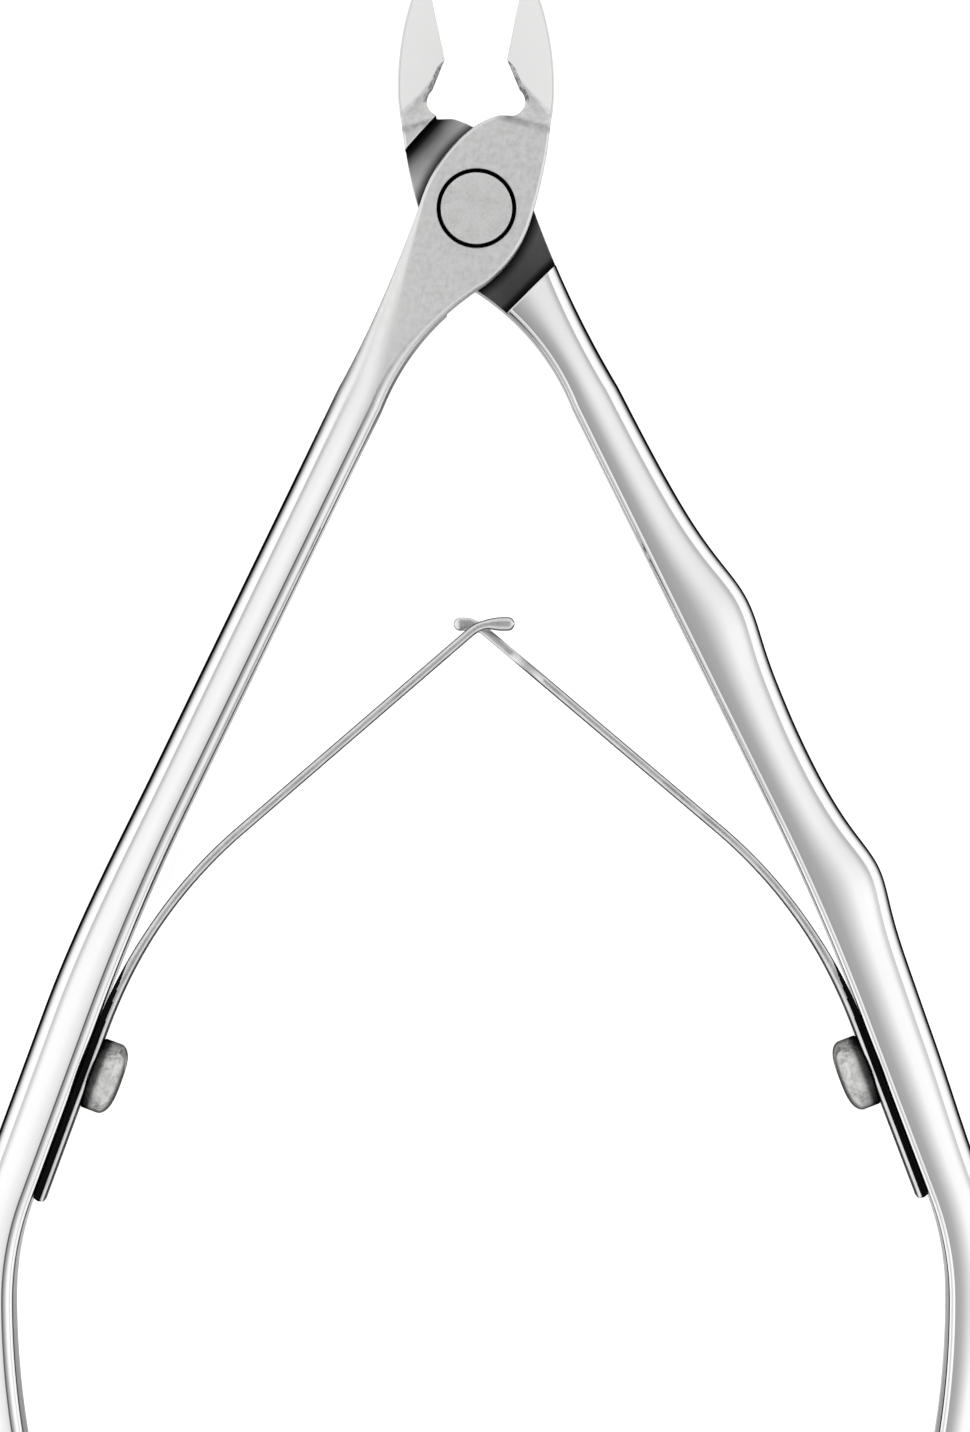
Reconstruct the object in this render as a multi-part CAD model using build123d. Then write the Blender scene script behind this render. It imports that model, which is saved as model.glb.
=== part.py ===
"""Cuticle nipper with a lap joint and two interlocking leaf springs, lying on its back face.

The origin is on the pivot axis, in the plane of the back face.  +Z runs along the pivot axis to
the front face, +Y runs to the jaw tips and +X to the right, seen from the front.  The jaws and
handles are modelled open, as the springs hold them.  Sizes are millimetres and degrees.

The front lever is the left handle and the right jaw.  The rear lever is the right handle and the
left jaw.  Apart from the finger grooves and the lap, the two levers are mirror images in X, so
both are drawn with the handle on the left and the jaw on the right, and the rear one is mirrored.
The same holds for the springs and their screws.
"""

import math
import os

from build123d import *

# Driving dimensions: the joint and the jaws
THICKNESS = 7.0             # across both cheeks, and of each handle
LAP_GAP = 0.06              # between the flat faces of the two cheeks
JAW_HALF_OPENING = 11.6     # each cutting edge from the centre line, with the springs relaxed
CUTTING_REACH = 17.6        # pivot to jaw tip
CUTTING_START = 10.8        # pivot to the lower end of the cutting edge
EDGE_LAND = 0.2             # thickness left at the cutting edge
BEVEL_ANGLE = 34.5          # of the ground bevels, from the mid plane
NECK_ANGLE = 40.0           # of the slopes between cheek and bevels
NECK_LINE = ((1.6, 6.4), (4.8, 5.5))              # where those slopes leave the flat cheek
JAW_SHOULDER = ((2.9, 6.37), (4.8, 4.27))         # step from full jaw to half-thickness cheek
GRIP_SHOULDER = ((-5.36, -3.99), (-2.64, -6.72))  # step from cheek to full handle
PIVOT_D = 3.6
PIVOT_CLEARANCE = 0.03      # radial, in the front lever
PIVOT_HEAD_D = 5.0
PIVOT_HEAD_H = 1.3
PIVOT_HEAD_GAP = 0.05       # below the head
PIVOT_GROOVE = 0.28         # open ring round the head

# Driving dimensions: the outline of cheek and jaw.  Each row is a point that an arc passes
# through, or None for a straight line, and the point where it ends.
OUTER_SIDE = [                          # from the heel of the cutting edge down to the handle's back
    (None, (3.05, 8.55)),               # below the cutting edge
    ((3.47, 7.6), (2.65, 6.45)),        # the round notch between jaw and cheek
    (None, (1.67, 6.47)),               # the top of the cheek
    ((0.72, 6.15), (-0.25, 5.6)),
    ((-2.4, 3.43), (-3.88, 0.49)),      # the cheek's shoulder
]
ROOT_BULGE = (-6.3, -5.55)              # on the arc from there to the handle's back
INNER_SIDE = [                          # from the handle's inner edge up to the jaw tip
    ((-3.75, -8.95), (0.5, -5.3)),      # the root of the handle
    ((2.36, -3.5), (3.74, -0.84)),      # the foot of the cheek
    ((4.75, 3.0), (5.25, 6.4)),
    ((5.42, 7.4), (5.46, 8.5)),
]
JAW_BULGE = (5.0, 12.85)                # on the arc from there to the jaw tip

# Driving dimensions: the handles, along their inner edges
GRIP_TOP = (-6.7, -13.93)   # just below the cheek
GRIP_ANGLE = 26.1           # upper handle from the centre line
FOOT_ANGLE = 20.5           # lower handle and spring foot from the centre line
UPPER_RUN = 30.9            # straight, above the bend
GRIP_BEND_R = 165.0
LOWER_RUN = 13.4            # straight, under the spring foot
KNEE_R = 20.0               # where the handle turns inward
TAIL_R = 60.0               # the inward curve down to the end
TAIL_ANGLE = 25.0
UPPER_T = 3.4               # handle thickness above the springs
LOWER_T = 3.85              # beside the spring feet
END_T = 2.7                 # at the end
BACK_CROWN = 1.6            # height of the rounded back
EDGE_CHAMFER = 0.5          # along the inner face
LOWER_SPAN = (30.0, 48.0)   # where the thickness grows from UPPER_T to LOWER_T
END_SPAN = (62.0, 94.0)     # and where it falls to END_T
CRESTS = ((17.4, 1.6, 4.9), (38.0, 1.2, 3.7))     # finger crests: place, height, half-width
GROOVE_SWELL = 0.25         # extra thickness between and below the crests
SWELL_RISE = (17.4, 25.4)   # where that starts
SWELL_FALL = (50.0, 60.0)   # and where it ends
STATIONS = 30               # sections along a handle

# Driving dimensions: the springs and screws
FOOT_T = 0.8                # leaf thickness under the screw
ARM_T = 0.62                # and along the free arm
LEAF_W = 4.6
LEAF_SEAT = 0.03            # between a foot and its handle
CLAMP_AT = 0.66             # upper end of the clamped foot, below the start of the lower run
FOOT_LENGTH = 12.6
LEAF_BEND_R = 34.0
LEAF_REACH_ANGLE = 49.5     # of the straight arm from the centre line
TIP_FROM_CENTRE = 0.56      # the straight arm ends this far short of the centre line
TIP_R = 2.4                 # and the tip curls over to lie across the centre line
LEFT_TIP = 1.54             # length of the left leaf's level tip
RIGHT_TIP = 0.73            # and of the right one's
FLEX_FROM_CLAMP = 5.9       # arc length from the clamp to the middle of the bend
KNUCKLE_GAP = 0.06
TONGUE_W = 1.6
TONGUE_FROM = 2.4           # the tongue starts this far before the centre line
SLOT_W = 2.4
SLOT_SPAN = (-2.1, 1.6)     # across the centre line
SCREW_BELOW_CLAMP = 2.95
SCREW_HEAD_D = 5.1
SCREW_RIM_H = 1.25
SCREW_DOME_H = 0.9
SCREW_SLOT_W = 0.7
SCREW_SLOT_DEPTH = 0.8
SCREW_SLOT_ANGLE = 32.0     # of the slot, from the line of the leaf
SCREW_SHANK_D = 2.0
SCREW_GRIP = 2.6            # thread length in the handle
HOLE_SPARE = 0.1            # hole beyond the thread
LEAF_HOLE_D = 2.2

MID = THICKNESS / 2
BIG = 200.0
DOWN = 180.0                # heading straight down a handle


def facing(heading):
    """The unit vector at a heading, in degrees clockwise from +Y."""
    return Vector(math.sin(math.radians(heading)), math.cos(math.radians(heading)))


def trace(start, heading, steps, side=0.0):
    """Edges of a path of straight runs and tangent arcs, moved sideways to the right by side.
    A step is a length and a turn of 0, or a radius and the angle turned (clockwise positive)."""
    here = Vector(*start) + facing(heading + 90) * side
    edges = []
    for size, turn in steps:
        if turn == 0:
            there = here + facing(heading) * size
            edges.append(Line(here, there))
        else:
            radius = size - side if turn > 0 else size + side
            half_chord = radius * abs(math.sin(math.radians(turn / 4)))
            middle = here + facing(heading + turn / 4) * 2 * half_chord
            chord = 2 * radius * abs(math.sin(math.radians(turn / 2)))
            there = here + facing(heading + turn / 2) * chord
            edges.append(ThreePointArc(here, middle, there))
            heading += turn
        here = there
    return edges, here


def strip(start, heading, steps, thickness, width):
    """A strip bent along a path, standing on edge across the mid plane."""
    left, left_end = trace(start, heading, steps, -thickness / 2)
    right, right_end = trace(start, heading, steps, thickness / 2)
    ends = [Line(left[0] @ 0, right[0] @ 0), Line(left_end, right_end)]
    return Pos(0, 0, MID - width / 2) * extrude(make_face(left + right + ends), width)


def half_space(point, normal):
    """A large block whose one face passes through a point, with the normal pointing out of it."""
    return Plane(point, z_dir=normal).location * Pos(0, 0, -BIG / 2) * Box(BIG, BIG, BIG)


def beside(line, inside):
    """A large upright block on one side of a line: the side that the point inside is on."""
    start, end = Vector(*line[0]), Vector(*line[1])
    normal = (end - start).cross(Vector(0, 0, 1)).normalized()
    if normal.dot(Vector(*inside) - start) > 0:
        normal = -normal
    return half_space(start, normal)


def mirrored(shape):
    """The same shape for the other handle."""
    return mirror(shape, about=Plane.YZ)


# ---------------------------------------------------------------- the handles

HANDLE_STEPS = [
    (UPPER_RUN, 0),
    (GRIP_BEND_R, FOOT_ANGLE - GRIP_ANGLE),
    (LOWER_RUN, 0),
    (KNEE_R, -FOOT_ANGLE),
    (TAIL_R, -TAIL_ANGLE),
]
HANDLE_EDGES = trace(GRIP_TOP, DOWN + GRIP_ANGLE, HANDLE_STEPS)[0]
HANDLE_LINE = Wire(HANDLE_EDGES)
HANDLE_LENGTH = HANDLE_LINE.length
FOOT_TOP = HANDLE_EDGES[2] @ 0      # where the lower straight run starts


def ease(distance, span):
    """0 before a span and 1 after it, with a smooth rise between."""
    share = (distance - span[0]) / (span[1] - span[0])
    share = min(max(share, 0.0), 1.0)
    return share * share * (3 - 2 * share)


def grip_thickness(distance, grooved):
    """Thickness at a distance down the inner edge.  Each finger crest is a bell-shaped rise."""
    thickness = UPPER_T + (LOWER_T - UPPER_T) * ease(distance, LOWER_SPAN)
    thickness -= (LOWER_T - END_T) * ease(distance, END_SPAN)
    if grooved:
        for place, height, half_width in CRESTS:
            thickness += height / (1 + ((distance - place) / half_width) ** 2)
        thickness += GROOVE_SWELL * ease(distance, SWELL_RISE) * (1 - ease(distance, SWELL_FALL))
    return thickness


def grip_section(distance, grooved):
    """The handle's section: a flat inner face, chamfered edges, flat flanks and a round back."""
    point = HANDLE_LINE.position_at(distance, position_mode=PositionMode.LENGTH)
    tangent = HANDLE_LINE.tangent_at(distance, position_mode=PositionMode.LENGTH)
    back = Vector(0, 0, 1).cross(tangent) * -1
    depth = grip_thickness(distance, grooved)
    flank = depth - BACK_CROWN
    shoulder = MID - EDGE_CHAMFER
    corners = [
        (flank, MID),
        (EDGE_CHAMFER, MID),
        (0, shoulder),
        (0, -shoulder),
        (EDGE_CHAMFER, -MID),
        (flank, -MID),
    ]
    outline = Polyline(*corners).edges() + ThreePointArc((flank, -MID), (depth, 0), (flank, MID)).edges()
    plane = Plane(origin=(point.X, point.Y, MID), x_dir=back, z_dir=tangent)
    return plane * make_face(outline)


def grip(grooved):
    """A whole handle, lofted through its sections."""
    places = [HANDLE_LENGTH * i / STATIONS for i in range(STATIONS + 1)]
    return loft([grip_section(place, grooved) for place in places])


# ---------------------------------------------------------------- cheek and jaw

CUTTING_DIRECTION = facing(JAW_HALF_OPENING)
JAW_TIP = CUTTING_DIRECTION * CUTTING_REACH
JAW_HEEL = CUTTING_DIRECTION * CUTTING_START


def cheek_and_jaw_outline(grooved):
    """From the jaw tip down the cutting edge, round the neck, cheek and handle root, and back up."""
    grip_back = Vector(*GRIP_TOP) - facing(DOWN + GRIP_ANGLE - 90) * grip_thickness(0, grooved)
    rows = [(None, JAW_HEEL), *OUTER_SIDE, (ROOT_BULGE, grip_back)]
    rows += [(None, GRIP_TOP), *INNER_SIDE, (JAW_BULGE, JAW_TIP)]
    here = JAW_TIP
    edges = []
    for through, there in rows:
        if through is None:
            edges.append(Line(here, there))
        else:
            edges.append(ThreePointArc(here, through, there))
        here = there
    return make_face(edges)


def between_slopes(point, normal):
    """The space below a sloping plane and above its mirror image in the mid plane."""
    below = half_space(point, normal)
    above = mirror(below, about=Plane.XY.offset(MID))
    return below & above


def cheek_and_jaw(grooved):
    """Full-thickness head of a lever: the cheek slopes down at the neck to the ground bevels, which
    meet at the cutting edge."""
    block = extrude(cheek_and_jaw_outline(grooved), THICKNESS)
    outward = facing(JAW_HALF_OPENING + 90)
    bevel_normal = -outward * math.sin(math.radians(BEVEL_ANGLE))
    bevel_normal += Vector(0, 0, math.cos(math.radians(BEVEL_ANGLE)))
    bevels = between_slopes((JAW_HEEL.X, JAW_HEEL.Y, MID + EDGE_LAND / 2), bevel_normal)
    neck_start, neck_end = Vector(*NECK_LINE[0]), Vector(*NECK_LINE[1])
    uphill = (neck_start - neck_end).cross(Vector(0, 0, 1)).normalized()
    neck_normal = uphill * math.sin(math.radians(NECK_ANGLE))
    neck_normal += Vector(0, 0, math.cos(math.radians(NECK_ANGLE)))
    neck = between_slopes((neck_start.X, neck_start.Y, THICKNESS), neck_normal)
    return (block & neck) + (block & bevels)


def lever(grooved):
    """A lever with its back half cut away at the lap, between the two shoulders."""
    whole = cheek_and_jaw(grooved) + grip(grooved)
    lap_height = MID + LAP_GAP / 2
    lap = Pos(0, 0, lap_height - BIG / 2) * Box(BIG, BIG, BIG)
    lap = lap & beside(JAW_SHOULDER, (0, 0)) & beside(GRIP_SHOULDER, (0, 0))
    return whole - lap


# ---------------------------------------------------------------- screws and springs

FOOT_HEADING = FOOT_ANGLE                   # up a left handle, leaning to the centre
FOOT_INWARD = facing(FOOT_HEADING + 90)
CLAMP = FOOT_TOP - facing(FOOT_HEADING) * CLAMP_AT + FOOT_INWARD * LEAF_SEAT
SCREW_SEAT = CLAMP - facing(FOOT_HEADING) * SCREW_BELOW_CLAMP
BEND_TURN = LEAF_REACH_ANGLE - FOOT_ANGLE
FLEX_TURN = math.degrees(FLEX_FROM_CLAMP / LEAF_BEND_R)


def screw_frame():
    """The plane of the handle's inner face at the screw, with its normal towards the centre."""
    return Plane(
        origin=(SCREW_SEAT.X, SCREW_SEAT.Y, MID),
        x_dir=facing(FOOT_HEADING),
        z_dir=FOOT_INWARD,
    ).location


def spring_screw():
    """A domed, slotted screw, its head on the leaf and its thread in the handle."""
    head_r = SCREW_HEAD_D / 2
    dome_r = (head_r ** 2 + SCREW_DOME_H ** 2) / (2 * SCREW_DOME_H)
    top = FOOT_T + SCREW_RIM_H + SCREW_DOME_H
    body = Pos(0, 0, (FOOT_T + top) / 2) * Cylinder(head_r, top - FOOT_T)
    dome = Pos(0, 0, top - dome_r) * Sphere(dome_r)
    slot = Box(2 * SCREW_HEAD_D, SCREW_SLOT_W, 2 * SCREW_SLOT_DEPTH)
    slot = Pos(0, 0, top) * Rot(0, 0, SCREW_SLOT_ANGLE) * slot
    shank_length = SCREW_GRIP + FOOT_T
    shank = Pos(0, 0, FOOT_T - shank_length / 2) * Cylinder(SCREW_SHANK_D / 2, shank_length)
    return screw_frame() * ((body & dome) - slot + shank)


def screw_hole(diameter):
    """What a hole of a diameter takes out of the leaf and the handle."""
    depth = SCREW_GRIP + HOLE_SPARE + FOOT_T
    return screw_frame() * Pos(0, 0, FOOT_T - depth / 2) * Cylinder(diameter / 2, depth)


def spring_foot():
    """The clamped end of a leaf, flat on the handle, and the start of its bend."""
    below = CLAMP - facing(FOOT_HEADING) * FOOT_LENGTH + FOOT_INWARD * FOOT_T / 2
    stop = FLEX_TURN - math.degrees((ARM_T / 2 + KNUCKLE_GAP) / LEAF_BEND_R)
    foot = strip(below, FOOT_HEADING, [(FOOT_LENGTH, 0), (LEAF_BEND_R, stop)], FOOT_T, LEAF_W)
    return foot - screw_hole(LEAF_HOLE_D)


def flex_axis():
    """The point on the leaf that its free arm turns about."""
    clamp_middle = CLAMP + FOOT_INWARD * FOOT_T / 2
    return trace(clamp_middle, FOOT_HEADING, [(LEAF_BEND_R, FLEX_TURN)])[1]


def spring_arm(tip_length):
    """The free arm of a leaf, from a round knuckle on the flex axis to the curled tip."""
    axis = flex_axis()
    bend = (LEAF_BEND_R, BEND_TURN - FLEX_TURN)
    bend_end = trace(axis, FOOT_HEADING + FLEX_TURN, [bend])[1]
    reach = (-TIP_FROM_CENTRE - bend_end.X) / math.sin(math.radians(LEAF_REACH_ANGLE))
    curl = (TIP_R, 90 - LEAF_REACH_ANGLE)
    steps = [bend, (reach, 0), curl, (tip_length, 0)]
    arm = strip(axis, FOOT_HEADING + FLEX_TURN, steps, ARM_T, LEAF_W)
    return arm + Pos(axis.X, axis.Y, MID) * Cylinder(ARM_T / 2, LEAF_W)


def slotted_arm():
    """The left arm: a slot across the centre line lets the other leaf's tongue through."""
    low, high = SLOT_SPAN
    return spring_arm(LEFT_TIP) - Pos((low + high) / 2, 0, MID) * Box(high - low, BIG, SLOT_W)


def tongued_arm():
    """The right arm: near its tip it narrows to a tongue."""
    keep_end = Pos(BIG / 2 + TONGUE_FROM, 0, MID) * Box(BIG, 2 * BIG, LEAF_W)
    keep_tongue = Pos(0, 0, MID) * Box(BIG, 2 * BIG, TONGUE_W)
    return mirrored(spring_arm(RIGHT_TIP)) & (keep_end + keep_tongue)


# ---------------------------------------------------------------- the pieces

def front_lever():
    """Left handle and right jaw, with a running bore and a counterbore for the pivot head."""
    bore = Pos(0, 0, MID) * Cylinder(PIVOT_D / 2 + PIVOT_CLEARANCE, 2 * THICKNESS)
    counterbore_depth = PIVOT_HEAD_H + PIVOT_HEAD_GAP
    counterbore = Cylinder(PIVOT_HEAD_D / 2 + PIVOT_GROOVE, counterbore_depth)
    counterbore = Pos(0, 0, THICKNESS - counterbore_depth / 2) * counterbore
    return lever(grooved=False) - bore - counterbore - screw_hole(SCREW_SHANK_D)


def rear_lever():
    """Right handle and left jaw, lapped at the front, holding the pivot fast."""
    turned_over = mirror(lever(grooved=True), about=Plane.XY.offset(MID))
    blank = mirrored(turned_over - screw_hole(SCREW_SHANK_D))
    return blank - Pos(0, 0, MID) * Cylinder(PIVOT_D / 2, 2 * THICKNESS)


def pivot_rivet():
    """The pivot, flush with both faces: a flat round head and a plain shank."""
    head = Pos(0, 0, THICKNESS - PIVOT_HEAD_H / 2) * Cylinder(PIVOT_HEAD_D / 2, PIVOT_HEAD_H)
    shank_length = THICKNESS - PIVOT_HEAD_H
    return head + Pos(0, 0, shank_length / 2) * Cylinder(PIVOT_D / 2, shank_length)


os.makedirs("parts", exist_ok=True)
PIECES = {
    "front_lever": front_lever(),
    "rear_lever": rear_lever(),
    "pivot_rivet": pivot_rivet(),
    "left_spring_foot": spring_foot(),
    "left_spring_arm": slotted_arm(),
    "left_spring_screw": spring_screw(),
    "right_spring_foot": mirrored(spring_foot()),
    "right_spring_arm": tongued_arm(),
    "right_spring_screw": mirrored(spring_screw()),
}
for name, piece in PIECES.items():
    export_step(piece, f"parts/{name}.step")
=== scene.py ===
import math

import bpy
import numpy as np
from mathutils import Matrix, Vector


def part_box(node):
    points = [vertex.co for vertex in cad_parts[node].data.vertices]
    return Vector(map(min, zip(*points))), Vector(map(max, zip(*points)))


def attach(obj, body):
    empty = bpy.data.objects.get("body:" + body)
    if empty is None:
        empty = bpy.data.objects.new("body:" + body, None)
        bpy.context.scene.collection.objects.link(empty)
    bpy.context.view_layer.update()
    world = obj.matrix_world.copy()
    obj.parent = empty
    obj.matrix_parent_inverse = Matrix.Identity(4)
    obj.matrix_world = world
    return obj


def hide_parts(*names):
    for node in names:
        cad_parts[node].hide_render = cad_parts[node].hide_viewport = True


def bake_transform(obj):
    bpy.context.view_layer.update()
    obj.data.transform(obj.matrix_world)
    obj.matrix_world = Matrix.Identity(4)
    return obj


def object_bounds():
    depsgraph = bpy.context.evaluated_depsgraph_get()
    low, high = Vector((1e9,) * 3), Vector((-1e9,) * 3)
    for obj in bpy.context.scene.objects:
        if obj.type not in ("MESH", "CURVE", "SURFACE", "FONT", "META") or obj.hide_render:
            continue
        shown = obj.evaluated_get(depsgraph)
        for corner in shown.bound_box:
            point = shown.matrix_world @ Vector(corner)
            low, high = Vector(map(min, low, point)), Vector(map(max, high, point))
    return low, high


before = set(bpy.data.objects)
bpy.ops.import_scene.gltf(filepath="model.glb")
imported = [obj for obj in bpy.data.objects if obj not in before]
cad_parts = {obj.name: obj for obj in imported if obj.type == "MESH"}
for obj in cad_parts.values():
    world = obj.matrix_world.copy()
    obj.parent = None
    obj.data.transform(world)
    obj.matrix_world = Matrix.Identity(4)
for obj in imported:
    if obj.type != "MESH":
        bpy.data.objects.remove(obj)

cad_low, cad_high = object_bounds()

# ---------------------------------------------------------------- the studio
# The nipper lies on its back on a pale sweep, under a tent of two long soft boxes.  The gap between
# the boxes is right overhead, so steel that faces straight up mirrors it dark and tilted steel white.

MM = 0.001
VIEW_CENTRE = (0.44, -35.35)        # mm, the point the camera looks straight down on
VIEW_HEIGHT = 100.24                # mm seen from top to bottom, at the middle of the thickness
CAMERA_ABOVE = 600.0                # mm over the middle of the thickness
CAMERA_TURN = -0.25                 # degrees
SENSOR = 36.0

middle_z = (cad_low.z + cad_high.z) / 2
camera_data = bpy.data.cameras.new("camera")
camera_data.sensor_width = SENSOR
camera_data.lens = SENSOR * CAMERA_ABOVE / VIEW_HEIGHT
camera_data.clip_start = 0.01
camera_data.clip_end = 50.0
camera = bpy.data.objects.new("camera", camera_data)
camera.location = (VIEW_CENTRE[0] * MM, VIEW_CENTRE[1] * MM, middle_z + CAMERA_ABOVE * MM)
camera.rotation_euler = (0, 0, math.radians(CAMERA_TURN))
bpy.context.scene.collection.objects.link(camera)
bpy.context.scene.camera = camera
bpy.context.scene.view_settings.view_transform = "Standard"


def nodes_of(tree):
    """A short call for a node tree, which adds a node with its settings and inputs.  An input that
    is a socket is linked, and any other is set."""
    def add(kind, inputs=None, **settings):
        node = tree.nodes.new(kind)
        for name, value in settings.items():
            setattr(node, name, value)
        for name, value in (inputs or {}).items():
            socket = node.inputs[name] if isinstance(name, int) else in_use(node.inputs, name)
            if isinstance(value, bpy.types.NodeSocket):
                tree.links.new(value, socket)
            else:
                socket.default_value = value
        return node
    return add


def in_use(sockets, name="Result"):
    """The socket of that name that the node's settings leave in use."""
    return next(socket for socket in sockets if socket.name == name and socket.enabled)


def ramp_of(node, stops):
    """Sets a colour ramp's stops, each a place and a grey or a colour."""
    ramp = node.color_ramp
    while len(ramp.elements) < len(stops):
        ramp.elements.new(0.5)
    for element, (place, colour) in zip(ramp.elements, stops):
        colour = (colour,) * 3 if isinstance(colour, float) else colour
        element.position = place
        element.color = (*colour, 1.0)
    return node


world = bpy.data.worlds.new("light tent")
world.use_nodes = True
world.node_tree.nodes.clear()
add = nodes_of(world.node_tree)
direction = add("ShaderNodeSeparateXYZ", {0: add("ShaderNodeTexCoord").outputs["Generated"]})
across = add("ShaderNodeMapRange", {"Value": direction.outputs["X"], "From Min": -1.0, "From Max": 1.0})
boxes = ramp_of(add("ShaderNodeValToRGB", {"Fac": in_use(across.outputs)}), [
    (0.00, 1.10), (0.25, 0.98), (0.36, 0.86), (0.43, 0.62), (0.475, 0.20), (0.50, 0.07),
    (0.53, 0.12), (0.58, 0.33), (0.66, 0.43), (0.74, 0.66), (0.84, 0.98), (1.00, 1.10),
])
ends = add("ShaderNodeMath", {0: direction.outputs["Y"]}, operation="ABSOLUTE")
past_ends = add("ShaderNodeMapRange", {"Value": ends.outputs[0], "From Min": 0.16, "From Max": 0.55},
                interpolation_type="SMOOTHSTEP")
tent = add("ShaderNodeMix", {"Factor": in_use(past_ends.outputs), "A": boxes.outputs["Color"],
                             "B": (0.80, 0.80, 0.80, 1.0)}, data_type="RGBA")
# A greyer skirt hangs round the foot of the tent and draws the sides of polished pieces.
skirt = ramp_of(add("ShaderNodeValToRGB", {"Fac": direction.outputs["Z"]}), [
    (0.0, 0.62), (0.14, 0.66), (0.30, 0.92), (0.42, 1.00)])
lit = add("ShaderNodeMix", {"Factor": 1.0, "A": in_use(tent.outputs), "B": skirt.outputs["Color"]},
          data_type="RGBA", blend_type="MULTIPLY")
seen = add("ShaderNodeLightPath").outputs["Is Camera Ray"]
sky = add("ShaderNodeMix", {"Factor": seen, "A": in_use(lit.outputs), "B": (0.92, 0.92, 0.93, 1.0)},
          data_type="RGBA")
sky_light = add("ShaderNodeBackground", {"Color": in_use(sky.outputs), "Strength": 1.0})
add("ShaderNodeOutputWorld", {"Surface": sky_light.outputs["Background"]})
bpy.context.scene.world = world

FLOOR_SIZE = 4.0                    # m
floor_mesh = bpy.data.meshes.new("floor")
half = FLOOR_SIZE / 2
floor_mesh.from_pydata(
    [(-half, -half, cad_low.z), (half, -half, cad_low.z), (half, half, cad_low.z), (-half, half, cad_low.z)],
    [], [(0, 1, 2, 3)])
floor = bpy.data.objects.new("floor", floor_mesh)
bpy.context.scene.collection.objects.link(floor)
floor_look = bpy.data.materials.new("pale sweep")
floor_look.use_nodes = True
floor_shader = floor_look.node_tree.nodes["Principled BSDF"]
floor_shader.inputs["Base Color"].default_value = (0.85, 0.85, 0.85, 1)
floor_shader.inputs["Roughness"].default_value = 0.9
floor_shader.inputs["Emission Color"].default_value = (1, 1, 1, 1)
add = nodes_of(floor_look.node_tree)
seen = add("ShaderNodeLightPath").outputs["Is Camera Ray"]
glow = add("ShaderNodeMapRange", {"Value": seen, "To Min": 0.42, "To Max": 0.75})
floor_look.node_tree.links.new(in_use(glow.outputs), floor_shader.inputs["Emission Strength"])
floor_mesh.materials.append(floor_look)

# ---------------------------------------------------------------- the two levers
# Each lever is one drop forging of stainless steel: a handle, a cheek cut to half thickness for the
# lap joint, and a jaw ground to a knife edge.  The handles are polished bright and the heads are
# left satin.  Sizes are millimetres, drawn with the handle on the left and the jaw on the right.

THICKNESS = (cad_high.z - cad_low.z) / MM
MID = THICKNESS / 2
LAP_GAP = 0.06
JAW_HALF_OPENING = 11.6
CUTTING_REACH = 17.6
CUTTING_START = 10.8
EDGE_LAND = 0.2
BEVEL_ANGLE = 34.5
NECK_ANGLE = 40.0
NECK_LINE = ((1.6, 6.4), (4.8, 5.5))
JAW_SHOULDER = ((2.9, 6.37), (4.8, 4.27))
GRIP_SHOULDER = ((-5.36, -3.99), (-2.64, -6.72))
GRIP_TOP = (-6.7, -13.93)
GRIP_ANGLE = 26.1
FOOT_ANGLE = 20.5
HANDLE_STEPS = [(30.9, 0), (165.0, FOOT_ANGLE - GRIP_ANGLE), (13.4, 0), (20.0, -FOOT_ANGLE), (60.0, -25.0)]
UPPER_T = 3.4
LOWER_T = 3.85
END_T = 2.7
LOWER_SPAN = (30.0, 48.0)
END_SPAN = (62.0, 94.0)
CRESTS = ((17.4, 1.6, 4.9), (38.0, 1.2, 3.7))
GROOVE_SWELL = 0.25
SWELL_RISE = (17.4, 25.4)
SWELL_FALL = (50.0, 60.0)


def facing(heading):
    """Unit vectors at headings given in degrees clockwise from +Y."""
    heading = np.radians(heading)
    return np.stack([np.sin(heading), np.cos(heading)], -1)


def ease(value, span):
    """0 before a span and 1 after it, with a smooth rise 3t^2 - 2t^3 between."""
    share = np.clip((value - span[0]) / (span[1] - span[0]), 0, 1)
    return share * share * (3 - 2 * share)


def bent_line(start, heading, steps, spacing):
    """Points, headings and lengths along straight runs and tangent arcs.  A step is a length and a
    turn of 0, or a radius and a turn: an arc's points lie a radius from its centre, on the side
    away from the turn."""
    here, reached = np.array(start, float), 0.0
    points, headings, lengths = [], [], []
    for size, turn in steps:
        length = size * math.radians(abs(turn)) if turn else size
        share = np.linspace(0, 1, max(2, round(length / spacing) + 1))
        at = heading + turn * share
        if turn:
            side = math.copysign(size, turn)
            line = here + side * (facing(heading + 90) - facing(at + 90))
        else:
            line = here + facing(heading) * (share * length)[:, None]
        keep = slice(0 if not points else 1, None)
        points.append(line[keep])
        headings.append(at[keep])
        lengths.append(reached + share[keep] * length)
        here, heading, reached = line[-1], heading + turn, reached + length
    return np.concatenate(points), np.concatenate(headings), np.concatenate(lengths)


def arc_centre(start, through, end):
    """Centre of the circle through three points: as far from the second and third as from the
    first, which is two straight-line equations."""
    a, b, c = (np.array(p, float) for p in (start, through, end))
    return np.linalg.solve(2 * np.array([b - a, c - a]), [b @ b - a @ a, c @ c - a @ a])


def arc_radius(start, through, end):
    """Radius of the circle through three points."""
    return float(np.linalg.norm(arc_centre(start, through, end) - start))


def arc(start, through, end, count=24):
    """Points on the circle through three points, at even angles from start by through to end."""
    a, b, c = (np.array(p, float) for p in (start, through, end))
    centre = arc_centre(a, b, c)
    angles = [math.atan2(*(p - centre)[::-1]) for p in (a, b, c)]
    whole = 2 * math.pi
    turn = (angles[2] - angles[0]) % whole
    if (angles[1] - angles[0]) % whole > turn:
        turn -= whole
    at = angles[0] + turn * np.linspace(0, 1, count)
    return centre + np.linalg.norm(a - centre) * np.stack([np.cos(at), np.sin(at)], -1)


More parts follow.
